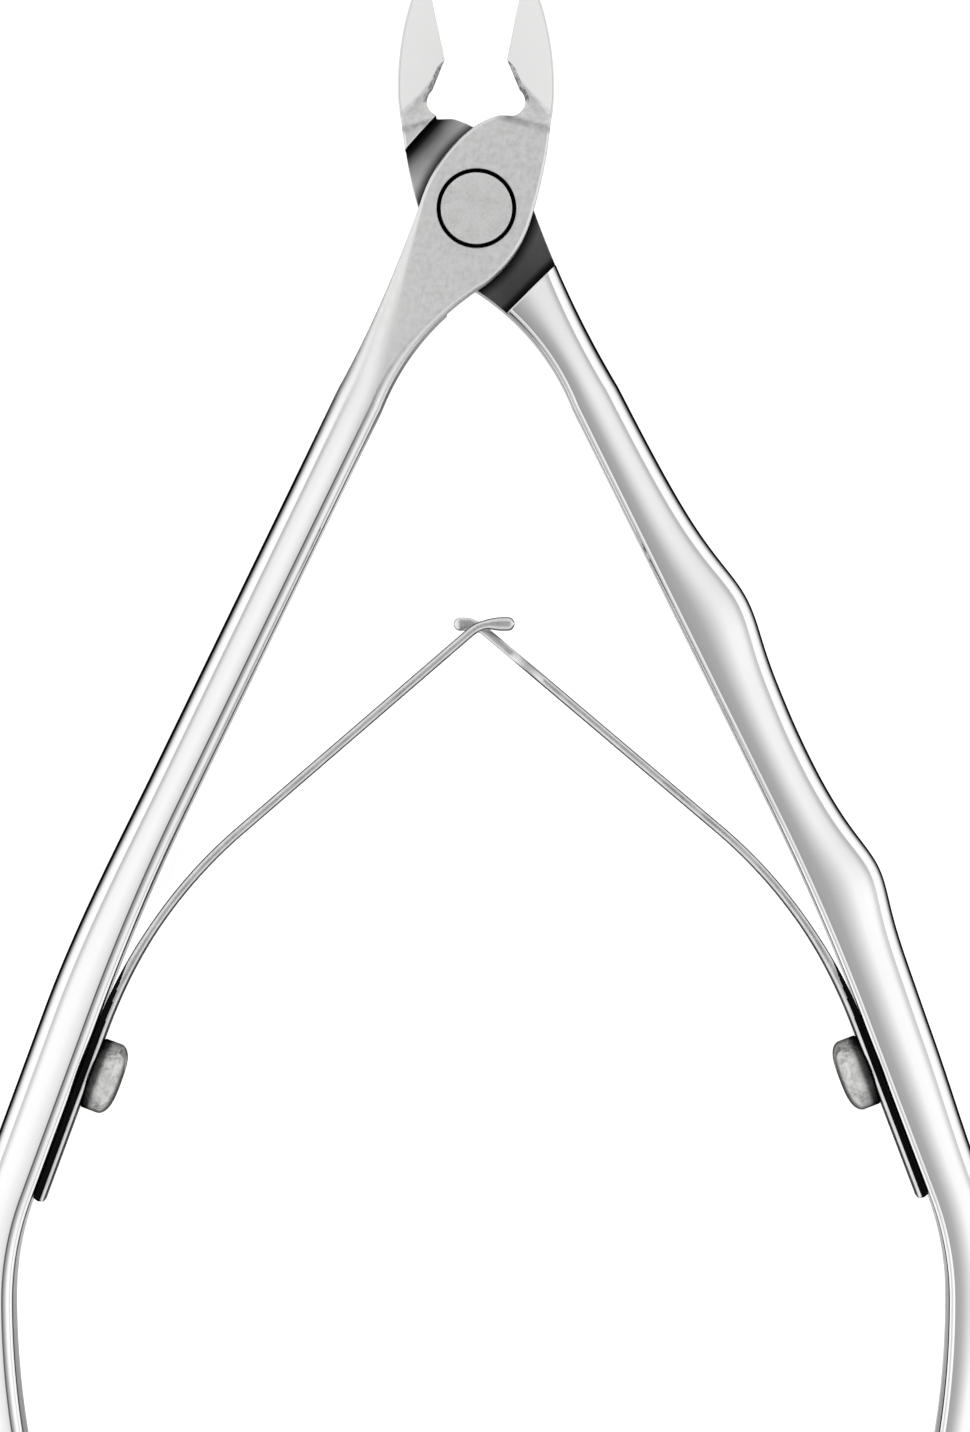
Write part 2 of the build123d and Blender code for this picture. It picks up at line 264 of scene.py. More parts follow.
def joined(*lines):
    """Several lines of points end to end, without the repeated points."""
    return np.concatenate([np.atleast_2d(lines[0])] + [np.atleast_2d(line)[1:] for line in lines[1:]])


def travelled(line):
    """Length reached at each point of a line."""
    return np.concatenate([[0], np.cumsum(np.linalg.norm(np.diff(line, axis=0), axis=1))])


def at_length(line, length):
    """Points of a line at given lengths along it."""
    reached = travelled(line)
    return np.stack([np.interp(length, reached, line[:, i]) for i in range(2)], -1)


def crossing(line, rule):
    """Length along a line at which it crosses a straight rule, where its side of the rule changes."""
    start, end = np.array(rule, float)
    normal = np.array([end[1] - start[1], start[0] - end[0]])
    side = (line - start) @ normal
    k = np.nonzero(side[:-1] * side[1:] <= 0)[0][0]
    reached = travelled(line)
    return reached[k] + (reached[k + 1] - reached[k]) * side[k] / (side[k] - side[k + 1])


def soft_top(a, b, softness):
    """The larger of two heights, with the corner between them rounded off."""
    return 0.5 * (a + b + np.sqrt((a - b) ** 2 + softness ** 2))


def half_height(points):
    """Half the thickness of cheek and jaw: full at the cheek, falling at the neck slope to the
    ground bevel, which rises evenly from the cutting edge."""
    outward = points @ facing(JAW_HALF_OPENING + 90)
    bevel = EDGE_LAND / 2 + math.tan(math.radians(BEVEL_ANGLE)) * np.maximum(outward, 0)
    start, end = np.array(NECK_LINE)
    along = (end - start) / np.linalg.norm(end - start)
    beyond = (points - start) @ np.array([-along[1], along[0]])
    neck = MID - math.tan(math.radians(NECK_ANGLE)) * beyond
    ground = soft_top(bevel, neck, 0.06)
    return -soft_top(-ground, -MID, 0.10)


def grip_thickness(distance, grooved):
    """Handle thickness from inner edge to back: each finger crest is a bell 1 / (1 + x^2)."""
    thickness = UPPER_T + (LOWER_T - UPPER_T) * ease(distance, LOWER_SPAN)
    thickness = thickness - (LOWER_T - END_T) * ease(distance, END_SPAN)
    if grooved:
        for place, height, half_width in CRESTS:
            thickness = thickness + height / (1 + ((distance - place) / half_width) ** 2)
        swell = ease(distance, SWELL_RISE) * (1 - ease(distance, SWELL_FALL))
        thickness = thickness + GROOVE_SWELL * swell
    return thickness


def rounding(reach, drop, power, turn):
    """A quarter of a superellipse (x/reach)^power + (z/drop)^power = 1, as the distance in from the
    edge and the drop below the full height."""
    return reach * (1 - np.cos(turn) ** (2 / power)), drop * (1 - np.sin(turn) ** (2 / power))


CHEEK_SHOULDER = ((-0.25, 5.6), (-2.4, 3.43), (-3.88, 0.49))
CHEEK_FOOT = ((3.74, -0.84), (2.36, -3.5), (0.5, -5.3))
HEAD_ROUND = 0.26           # the rounded rims of cheek and jaw
LAP_ROUND = 0.07            # the lap's own edges
SHOULDER_ROUND = 0.14       # the step between lap and full thickness
KEEN_ROUND = (0.05, 0.08)   # reach and drop of the cutting edge's own rounding
NECK_ROUND = (0.32, 0.38)   # of the broken edge left at the neck
BACK_POWER = 2.3            # of the handle's rounded back
BACK_WALL = 0.16            # half the height of the upright strip along the middle of the back
END_ROUND = 1.4             # over which the end of a handle closes


def lever_surface(grooved, inner_round, inner_power, back_slope):
    """A lever as a grid of sections: ribs run between two rails, the handle's back with the cutting
    edge and the handle's inner edge with the jaw's back, and each rib carries a closed section
    whose top and bottom follow half_height, with a superellipse at either edge.  Between the two
    shoulders the bottom is the flat of the lap."""
    tip = CUTTING_REACH * facing(JAW_HALF_OPENING)
    heel = CUTTING_START * facing(JAW_HALF_OPENING)
    back_of_grip = np.array(GRIP_TOP) + facing(180 + GRIP_ANGLE + 90) * grip_thickness(0.0, grooved)
    cutting = joined(np.linspace(tip, heel, 40), (heel, (3.05, 8.55)))
    left = joined(cutting, arc((3.05, 8.55), (3.47, 7.6), (2.65, 6.45)), ((2.65, 6.45), (1.67, 6.47)),
                  arc((1.67, 6.47), (0.72, 6.15), (-0.25, 5.6)), arc(*CHEEK_SHOULDER, 40),
                  arc((-3.88, 0.49), (-6.3, -5.55), back_of_grip, 60))
    right = joined(arc(tip, (5.0, 12.85), (5.46, 8.5), 60), arc((5.46, 8.5), (5.42, 7.4), (5.25, 6.4)),
                   arc((5.25, 6.4), (4.75, 3.0), (3.74, -0.84)), arc(*CHEEK_FOOT),
                   arc((0.5, -5.3), (-3.75, -8.95), GRIP_TOP, 60))
    heel_at = np.linalg.norm(tip - heel)
    notch_at = travelled(cutting)[-1]
    marks = [
        (0.12, 0.10),
        (heel_at, crossing(right, (heel, (5.4, 10.2)))),
        (notch_at, crossing(right, ((3.05, 8.55), (5.4, 8.1)))),
        (crossing(left, JAW_SHOULDER), crossing(right, JAW_SHOULDER)),
        (crossing(left, GRIP_SHOULDER), crossing(right, GRIP_SHOULDER)),
        (travelled(left)[-1], travelled(right)[-1]),
    ]
    near = np.array([0.006, 0.02, 0.045, 0.08, 0.12, 0.16])
    counts = (66, 22, 40, 96, 56)           # ribs along the blade, notch, neck, cheek and root
    left_at, right_at, lap, from_shoulder, root = [], [], [], [], []
    for i, count in enumerate(counts):
        (l0, r0), (l1, r1) = marks[i], marks[i + 1]
        share = np.linspace(0, 1, count, endpoint=i in (2, 3, 4))
        gap = 0.01 / (l1 - l0)
        if i == 2:
            share = np.union1d(share[share < 1 - near[-1] / (l1 - l0)], 1 - near / (l1 - l0))
        if i == 3:
            share = gap + share * (1 - 2 * gap)
        if i == 4:
            share = np.union1d(share[share > near[-1] / (l1 - l0)], near / (l1 - l0))
        left_at.append(l0 + share * (l1 - l0))
        right_at.append(r0 + share * (r1 - r0))
        lap.append(np.full(len(share), i == 3))
        away = {2: (1 - share) * (l1 - l0), 4: share * (l1 - l0)}.get(i, np.full(len(share), 9.0))
        from_shoulder.append(away)
        if grooved:
            root.append(ease(share, (0.55, 0.98)) if i == 3 else np.full(len(share), float(i == 4)))
        else:
            root.append(ease(share + i - 3, (0.62, 2.0)) if i >= 3 else np.zeros(len(share)))
    left_rib = at_length(left, np.concatenate(left_at))
    right_rib = at_length(right, np.concatenate(right_at))
    inner, headings, reached = bent_line(GRIP_TOP, 180 + GRIP_ANGLE, HANDLE_STEPS, 0.45)
    inner, headings, reached = inner[1:], headings[1:], reached[1:]
    extra = reached[-1] - END_ROUND * (1 - np.linspace(0, 1, 12)) ** 2
    reached_all = np.union1d(reached[reached < extra[0]], extra)
    inner = np.stack([np.interp(reached_all, reached, inner[:, i]) for i in range(2)], -1)
    headings = np.interp(reached_all, reached, headings)
    outer = inner + facing(headings + 90) * grip_thickness(reached_all, grooved)[:, None]
    start_left = np.concatenate(left_at)
    left_rib = np.concatenate([left_rib, outer])
    right_rib = np.concatenate([right_rib, inner])
    grips = len(inner)
    lap = np.concatenate(lap + [np.zeros(grips, bool)])[:, None]
    from_shoulder = np.concatenate(from_shoulder + [np.full(grips, 9.0)])[:, None]
    root = np.concatenate(root + [np.ones(grips)])[:, None]

    width = np.linalg.norm(right_rib - left_rib, axis=1)[:, None]
    along = (right_rib - left_rib) / width
    on_edge = np.concatenate([start_left, np.full(grips, 99.0)])[:, None]
    sharp = 1 - ease(on_edge, (heel_at - 0.05, heel_at + 0.5))
    strip = ease(on_edge, (heel_at + 0.1, heel_at + 0.8))
    strip = strip * (1 - ease(on_edge, (notch_at + 0.2, notch_at + 1.2)))
    right_reach = np.minimum(HEAD_ROUND + (inner_round - HEAD_ROUND) * root, 0.3 * width)
    right_drop = np.minimum(right_reach, 0.9 * half_height(right_rib)[:, None])
    right_power = 2.0 + (inner_power - 2.0) * root
    slope = back_slope * root
    full_reach = width - right_reach - 0.02
    left_reach = (HEAD_ROUND + (full_reach - HEAD_ROUND) * root) * (1 - sharp)
    left_reach = left_reach + KEEN_ROUND[0] * sharp + (NECK_ROUND[0] - HEAD_ROUND) * strip
    left_drop = HEAD_ROUND + (MID - BACK_WALL - slope * width - HEAD_ROUND) * root
    left_drop = left_drop * (1 - sharp)
    left_drop = left_drop + KEEN_ROUND[1] * sharp + (NECK_ROUND[1] - HEAD_ROUND) * strip
    left_drop = np.minimum(left_drop, 0.9 * half_height(left_rib)[:, None])
    left_power = 2 + (BACK_POWER - 2) * root + 0.9 * np.sin(math.pi * root) - 0.6 * strip
    left_reach = np.minimum(left_reach, 0.96 * width - right_reach)
    shoulder = np.clip(SHOULDER_ROUND - from_shoulder, 0, None)
    shoulder = SHOULDER_ROUND - np.sqrt(SHOULDER_ROUND ** 2 - shoulder ** 2)

    corner_turn = np.linspace(0, math.pi / 2, 16)[None, :]
    turn = np.linspace(0, 1, 30)[None, :] ** 1.25 * math.pi / 2
    flat = np.linspace(0, 1, 32)[None, 1:-1]

    def sheet(reach_l, drop_l, power_l, reach_r, drop_r, power_r, slope):
        """Distances along the ribs, and drops, across one side of the sections."""
        from_left, fall_left = rounding(reach_l, drop_l, power_l, turn)
        from_right, fall_right = rounding(reach_r, drop_r, power_r, corner_turn[:, ::-1])
        between = reach_l + (width - reach_l - reach_r) * flat
        across = np.concatenate([from_left, between, width - from_right], 1)
        fall = np.concatenate([fall_left, between * 0, fall_right], 1)
        return across, fall + slope * np.maximum(width - reach_r - across, 0)

    across, fall = sheet(left_reach, left_drop, left_power, right_reach, right_drop, right_power, slope)
    place = left_rib[:, None] + along[:, None] * across[:, :, None]
    top = np.concatenate([place, (half_height(place) - fall)[:, :, None]], 2)
    lap_round = np.full_like(width, LAP_ROUND)
    lap_across, lap_fall = sheet(lap_round, lap_round, 2.0, lap_round, lap_round, 2.0, 0.0)
    lap_place = left_rib[:, None] + along[:, None] * lap_across[:, :, None]
    under_place = np.where(lap[:, :, None], lap_place, place)
    full_under = -(half_height(place) - fall) + shoulder
    under = np.where(lap, LAP_GAP / 2 + lap_fall, full_under)
    bottom = np.concatenate([under_place, under[:, :, None]], 2)[:, ::-1]
    step = np.linspace(0, 1, 5)[None, 1:-1, None]
    right_wall = top[:, -1:] + (bottom[:, :1] - top[:, -1:]) * step
    left_wall = bottom[:, -1:] + (top[:, :1] - bottom[:, -1:]) * step
    grid = np.concatenate([top, right_wall, bottom, left_wall], 1)

    end = np.clip((reached_all - (reached_all[-1] - END_ROUND)) / END_ROUND, 0, 1)
    shrink = np.maximum((1 - end ** 2.4) ** (1 / 2.4), 0.06)[:, None, None]
    tail = grid[-grips:]
    centre = tail.mean(1, keepdims=True)
    grid[-grips:] = centre + (tail - centre) * shrink
    rough_rows = (on_edge[:, 0] > heel_at + 0.05) & (on_edge[:, 0] < notch_at + 1.1)
    rough_edge = np.zeros(grid.shape[:2], bool)
    rough_edge[rough_rows, :turn.shape[1] - 1] = True
    rough_edge[rough_rows, -(turn.shape[1] + 3):] = True
    return grid, lap[:, 0], rough_edge


def closed_mesh(name, grid):
    """A mesh through a grid of points: sections one after another, each a closed loop, with a flat
    cap at either end.  The faces are turned outward by the sign of the volume they enclose."""
    rows, loop = grid.shape[:2]
    number = np.arange(rows * loop).reshape(rows, loop)
    beside = np.roll(number, -1, 1)
    quads = np.stack([number[:-1], beside[:-1], beside[1:], number[1:]], -1).reshape(-1, 4)
    points = grid.reshape(-1, 3)
    a, b, c, d = (points[quads[:, i]] for i in range(4))
    middle = points.mean(0)
    volume = np.einsum("ij,ij->i", np.cross(c - a, d - b), (a + b + c + d) / 4 - middle).sum()
    faces = quads.tolist() + [number[0, ::-1].tolist(), number[-1].tolist()]
    if volume < 0:
        faces = [face[::-1] for face in faces]
    mesh = bpy.data.meshes.new(name)
    mesh.from_pydata((points * MM).tolist(), [], faces)
    mesh.update()
    piece = bpy.data.objects.new(name, mesh)
    bpy.context.scene.collection.objects.link(piece)
    return piece


def smooth(piece, angle=32.0):
    """Smooth shading, with sharp edges kept where faces meet at more than an angle."""
    piece.data.shade_smooth()
    piece.data.set_sharp_from_angle(angle=math.radians(angle))
    return piece


def of_faces(piece, what):
    """The middles or the normals of a piece's faces."""
    values = np.empty(3 * len(piece.data.polygons))
    piece.data.polygons.foreach_get(what, values)
    return values.reshape(-1, 3)


def cut(piece, *cutters):
    """Cuts each cutter out of the piece, and removes the cutters."""
    for cutter in cutters:
        modifier = piece.modifiers.new("cut", "BOOLEAN")
        modifier.object = cutter
        modifier.operation = "DIFFERENCE"
        modifier.solver = "EXACT"
    bpy.context.view_layer.update()
    whole = piece.evaluated_get(bpy.context.evaluated_depsgraph_get())
    mesh = bpy.data.meshes.new_from_object(whole)
    piece.modifiers.clear()
    old, piece.data = piece.data, mesh
    mesh.name = piece.name
    bpy.data.meshes.remove(old)
    for cutter in cutters:
        bpy.data.objects.remove(cutter)
    return piece


def turned(name, profile, centre, axis, count=96):
    """A turned shape: a profile of radius and height is carried round an axis through a centre,
    each point at centre + axis * height + radius * (cos, sin) in the plane across the axis."""
    radius, height = np.array(profile, float).T
    radius = np.maximum(radius, 0.002)
    axis = np.array(axis, float) / np.linalg.norm(axis)
    side = np.cross(axis, (0, 0, 1)) if abs(axis[2]) < 0.9 else np.array([1.0, 0, 0])
    side = side / np.linalg.norm(side)
    other = np.cross(axis, side)
    at = np.linspace(0, 2 * math.pi, count, endpoint=False)
    ring = np.cos(at)[:, None] * side + np.sin(at)[:, None] * other
    grid = np.array(centre) + height[:, None, None] * axis + radius[:, None, None] * ring
    return closed_mesh(name, grid)


PIVOT_D = 3.6
PIVOT_CLEARANCE = 0.03
PIVOT_HEAD_D = 5.0
PIVOT_HEAD_H = 1.3
PIVOT_HEAD_GAP = 0.05
PIVOT_GROOVE = 0.28
SCREW_SHANK_D = 2.0
SCREW_DEPTH = 2.7
CLAMP_AT = 0.66
SCREW_BELOW_CLAMP = 2.95

inner_points, _, inner_lengths = bent_line(GRIP_TOP, 180 + GRIP_ANGLE, HANDLE_STEPS, 0.1)
foot_top_at = HANDLE_STEPS[0][0] + HANDLE_STEPS[1][0] * math.radians(-HANDLE_STEPS[1][1])
foot_top = np.array([np.interp(foot_top_at, inner_lengths, inner_points[:, i]) for i in range(2)])
UP_THE_FOOT = facing(FOOT_ANGLE)
INWARD = facing(FOOT_ANGLE + 90)
screw_at = foot_top - UP_THE_FOOT * (CLAMP_AT + SCREW_BELOW_CLAMP)


def solid(value):
    """A point or direction in the plane with nothing along the thickness."""
    return np.array([value[0], value[1], 0.0])


def reflected(value):
    """The same point on the other handle."""
    return np.array(value) * (-1, 1, 1)


def make_lever(name, grooved, inner_round, inner_power, back_slope, bore_d):
    """A finished lever, placed: the front one as drawn, and the rear one turned half round the line
    up the middle of the nipper, which takes x to -x and swaps front and back."""
    grid, lap, rough_edge = lever_surface(grooved, inner_round, inner_power, back_slope)
    if grooved:
        grid = grid * (-1, 1, -1)
    piece = closed_mesh(name, grid + (0, 0, MID))
    loop = grid.shape[1]
    on_lap = lap | np.roll(lap, 1) | np.roll(lap, -1)
    middle, normal = of_faces(piece, "center") / MM, of_faces(piece, "normal")
    row = np.minimum(np.arange(len(middle)) // loop, len(lap) - 1)
    way = 1 if grooved else -1
    inside = way * (middle[:, 2] - MID) > -LAP_GAP
    lapped = on_lap[row] & inside & (np.abs(normal[:, 2]) > 0.9) & (np.abs(middle[:, 2] - MID) < 0.2)
    walls = on_lap[row] & ~lap[row] & inside & (np.abs(normal[:, 2]) < 0.3)
    finish = (lapped | walls).astype(np.int32)
    finish[:rough_edge[:-1].size][rough_edge[:-1].ravel()] = ROUGH
    piece.data.polygons.foreach_set("material_index", finish)
    bore = turned("bore", [(bore_d / 2, -1), (bore_d / 2, THICKNESS + 1)], (0, 0, 0), (0, 0, 1))
    centre, way_in = solid(screw_at) + (0, 0, MID), solid(INWARD)
    if grooved:
        centre, way_in = reflected(centre), reflected(way_in)
    hole_profile = [(SCREW_SHANK_D / 2, -SCREW_DEPTH), (SCREW_SHANK_D / 2, 1)]
    hole = turned("screw hole", hole_profile, centre, way_in, 48)
    cutters = [bore, hole]
    if not grooved:
        sink = PIVOT_HEAD_H + PIVOT_HEAD_GAP
        sink_r = PIVOT_HEAD_D / 2 + PIVOT_GROOVE
        rim = [(sink_r, THICKNESS - sink), (sink_r, THICKNESS - 0.07),
               (sink_r + 0.07, THICKNESS), (sink_r + 0.6, THICKNESS + 0.6)]
        cutters.append(turned("counterbore", rim, (0, 0, 0), (0, 0, 1), 128))
    cut(piece, *cutters)
    middle = of_faces(piece, "center") / MM
    finish = np.zeros(len(middle), np.int32)
    piece.data.polygons.foreach_get("material_index", finish)
    # The bore and counterbore walls take the near-black painted shade of a deep gap.
    sunk = (np.hypot(middle[:, 0], middle[:, 1]) < PIVOT_HEAD_D / 2 + PIVOT_GROOVE + 0.02)
    sunk &= (middle[:, 2] > 0.1) & (middle[:, 2] < THICKNESS - 0.09) & (abs(middle[:, 2] - MID) > 0.1)
    finish[sunk] = BORE_SHADE
    piece.data.polygons.foreach_set("material_index", finish)
    return smooth(piece)


ROUGH, BORE_SHADE = 2, 3          # lever material numbers of the rough neck edge and of the bores' near-black painted shade
front = make_lever("front_lever_forging", False, 0.80, 2.3, 0.09, PIVOT_D + 2 * PIVOT_CLEARANCE)
rear = make_lever("rear_lever_forging", True, 0.36, 1.25, 0.11, PIVOT_D)
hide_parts("front_lever")
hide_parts("rear_lever")
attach(front, "front")
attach(rear, "rear")


def group(name, inputs, outputs):
    """A new shader group with named sockets, and the calls to fill it."""
    tree = bpy.data.node_groups.new(name, "ShaderNodeTree")
    for label, kind, value in inputs:
        socket = tree.interface.new_socket(label, in_out="INPUT", socket_type="NodeSocket" + kind)
        if value is not None:
            socket.default_value = value
    for label, kind in outputs:
        tree.interface.new_socket(label, in_out="OUTPUT", socket_type="NodeSocket" + kind)
    add = nodes_of(tree)
    return tree, add, add("NodeGroupInput").outputs


def end_in_mask(add, given, distance):
    """Ends a group with a smooth mask from 0 to 1 as a distance goes from one value to another."""
    mask = add("ShaderNodeMapRange", {
        "Value": distance.outputs["Value"], "From Min": given["From"], "From Max": given["To"]},
        interpolation_type="SMOOTHSTEP")
    add("NodeGroupOutput", {"Mask": in_use(mask.outputs)})


# Cloudiness: soft patches, as of steel that has been handled and wiped, between two values.
cloud_group, add, given = group("cloudiness", [
    ("Scale", "Float", 200.0), ("Low", "Float", 0.0), ("High", "Float", 1.0)], [("Value", "Float")])
where = add("ShaderNodeTexCoord").outputs["Object"]
patches = add("ShaderNodeTexNoise", {
    "Vector": where, "Scale": given["Scale"], "Detail": 4.0, "Roughness": 0.6})
value = add("ShaderNodeMapRange", {
    "Value": patches.outputs["Fac"], "From Min": 0.3, "From Max": 0.7,
    "To Min": given["Low"], "To Max": given["High"]}, interpolation_type="SMOOTHSTEP")
add("NodeGroupOutput", {"Value": in_use(value.outputs)})

# Grinding marks: fine lines across a direction, from noise drawn out along the line of the wheel.
marks_group, add, given = group("grinding marks", [
    ("Turn", "Float", 0.0), ("Scale", "Float", 3000.0), ("Draw out", "Float", 30.0)],
    [("Height", "Float")])
where = add("ShaderNodeTexCoord").outputs["Object"]
turned_where = add("ShaderNodeVectorRotate", {"Vector": where, "Angle": given["Turn"]},
                   rotation_type="Z_AXIS")
shorten = add("ShaderNodeMath", {0: 1.0, 1: given["Draw out"]}, operation="DIVIDE")
stretch = add("ShaderNodeCombineXYZ", {"X": 1.0, "Y": shorten.outputs[0], "Z": 1.0})
drawn = add("ShaderNodeVectorMath", {0: turned_where.outputs[0], 1: stretch.outputs[0]},
            operation="MULTIPLY")
lines = add("ShaderNodeTexNoise", {
    "Vector": drawn.outputs[0], "Scale": given["Scale"], "Detail": 3.0, "Roughness": 0.7})
add("NodeGroupOutput", {"Height": lines.outputs["Fac"]})

# Rise: 0 to 1 along a direction, between two distances in metres.
rise_group, add, given = group("rise along", [
    ("Direction", "Vector", (0.0, 1.0, 0.0)), ("From", "Float", 0.0), ("To", "Float", 0.01)],
    [("Mask", "Float")])
where = add("ShaderNodeTexCoord").outputs["Object"]
distance = add("ShaderNodeVectorMath", {0: where, 1: given["Direction"]}, operation="DOT_PRODUCT")
end_in_mask(add, given, distance)

# Reach: 0 to 1 with the distance from an upright line through a centre.
reach_group, add, given = group("reach from", [
    ("Centre", "Vector", (0.0, 0.0, 0.0)), ("From", "Float", 0.0), ("To", "Float", 0.01)],
    [("Mask", "Float")])
where = add("ShaderNodeTexCoord").outputs["Object"]
offset = add("ShaderNodeVectorMath", {0: where, 1: given["Centre"]}, operation="SUBTRACT")
level = add("ShaderNodeVectorMath", {0: offset.outputs[0], 1: (1.0, 1.0, 0.0)}, operation="MULTIPLY")
distance = add("ShaderNodeVectorMath", {0: level.outputs[0]}, operation="LENGTH")
end_in_mask(add, given, distance)

GLANCING_SHADE_TINT = (0.01, 0.01, 0.012, 1.0)    # near-black reflection tint: painted shade that darkens polished steel seen at a glancing angle


def steel(name):
    """A new steel material: its node calls and its shader."""
    material = bpy.data.materials.new(name)
    material.use_nodes = True
    tree = material.node_tree
    shader = tree.nodes["Principled BSDF"]
    shader.inputs["Metallic"].default_value = 1.0
    shader.inputs["Specular Tint"].default_value = GLANCING_SHADE_TINT
    return material, nodes_of(tree), shader, tree.links.new


def placed(add, tree, **inputs):
    """A shader group placed in a material with its own values."""
    node = add("ShaderNodeGroup", node_tree=tree)
    for label, value in inputs.items():
        socket = node.inputs[label.replace("_", " ")]
        if isinstance(value, bpy.types.NodeSocket):
            node.id_data.links.new(value, socket)
        else:
            socket.default_value = value
    return node.outputs[0]


def painted_edge_shade(add, colour, amount, turned_from, turned_to):
    """Painted shade: the colour falling to near black where a rounded edge turns away from the eye,
    a painted reflection of the dark surroundings that polished steel mirrors there; the two shares
    of a quarter turn are where it begins and is complete."""
    away = add("ShaderNodeLayerWeight", {"Blend": 0.5}).outputs["Facing"]
    middle = (turned_from + turned_to) / 2
    fall = ramp_of(add("ShaderNodeValToRGB", {"Fac": away}), [
        (turned_from, 1.0), (middle, 0.42), (turned_to, 0.03)])
    dark = add("ShaderNodeMix", {"Factor": amount, "A": colour, "B": fall.outputs["Color"]},
               data_type="RGBA", blend_type="MULTIPLY")
    return in_use(dark.outputs)


def lever_steel(name, satin_from, satin_to, grind_turn, way):
    """Bright handle and satin head: the head's finish comes in along the length.  The neck below the
    ground bevels is cloudier, with a band of painted shade along its crease, and the bright handle
    takes painted edge shade where its rounding turns away from the eye."""
    material, add, shader, link = steel(name)
    head = placed(add, rise_group, Direction=(0.0, 1.0, 0.0), From=satin_from * MM, To=satin_to * MM)
    neck_way = (way * 0.27, 0.963, 0.0)
    neck = placed(add, rise_group, Direction=neck_way, From=6.5 * MM, To=6.75 * MM)
    crease_in = placed(add, rise_group, Direction=neck_way, From=6.15 * MM, To=6.62 * MM)
    crease_out = placed(add, rise_group, Direction=neck_way, From=6.62 * MM, To=7.1 * MM)
    bevel = placed(add, rise_group, Direction=(way * 0.707, 0.707, 0.0), From=8.4 * MM, To=8.6 * MM)
    wiped = placed(add, cloud_group, Scale=90.0, Low=0.045, High=0.09)
    grain = placed(add, cloud_group, Scale=2600.0, Low=0.40, High=0.52)
    lines = placed(add, marks_group, Turn=grind_turn, Scale=2600.0, Draw_out=26.0)
    ground = placed(add, cloud_group, Scale=2600.0, Low=0.34, High=0.38)
    satin = add("ShaderNodeMix", {"Factor": bevel, "A": grain, "B": ground})
    rough = add("ShaderNodeMix", {"Factor": head, "A": wiped, "B": in_use(satin.outputs)})
    link(in_use(rough.outputs), shader.inputs["Roughness"])
    tone = add("ShaderNodeMix", {"Factor": head, "A": (0.97, 0.97, 0.97, 1), "B": (0.90, 0.90, 0.895, 1)},
               data_type="RGBA")
    patches = placed(add, cloud_group, Scale=2300.0, Low=0.84, High=1.0)
    mottle = add("ShaderNodeMix", {"Factor": neck, "A": 1.0, "B": patches})
    smudge = placed(add, cloud_group, Scale=620.0, Low=0.0, High=1.0)
    # Painted shade: a band along the neck crease, broken up by soft patches, darkens the colour to 0.45.
    crease_band = add("ShaderNodeMath", {0: crease_in, 1: crease_out}, operation="SUBTRACT")
    crease_shade_band = add("ShaderNodeMath", {0: crease_band.outputs[0], 1: smudge}, operation="MULTIPLY")
    crease_shading = add("ShaderNodeMapRange", {"Value": crease_shade_band.outputs[0], "To Min": 1.0, "To Max": 0.45})
    shade = add("ShaderNodeMath", {0: in_use(mottle.outputs), 1: in_use(crease_shading.outputs)}, operation="MULTIPLY")
    clean = add("ShaderNodeMix", {"Factor": bevel, "A": shade.outputs[0], "B": 1.0})
    toned = add("ShaderNodeVectorMath", {0: in_use(tone.outputs)}, operation="SCALE")
    link(in_use(clean.outputs), toned.inputs["Scale"])
    # Painted shade: on the bright handle only, the colour falls to near black where its rounding turns away
    # from the eye.
    bright = add("ShaderNodeMath", {0: 1.0, 1: head}, operation="SUBTRACT")
    link(painted_edge_shade(add, toned.outputs[0], bright.outputs[0], 0.50, 0.80), shader.inputs["Base Color"])
    unground = add("ShaderNodeMath", {0: head, 1: bevel}, operation="SUBTRACT")
    strength = add("ShaderNodeMath", {0: unground.outputs[0], 1: 0.05}, operation="MULTIPLY")
    height = add("ShaderNodeMath", {0: lines, 1: strength.outputs[0]}, operation="MULTIPLY")
    bump = add("ShaderNodeBump", {"Height": height.outputs[0], "Strength": 0.6, "Distance": 0.0004})
    link(bump.outputs["Normal"], shader.inputs["Normal"])
    return material


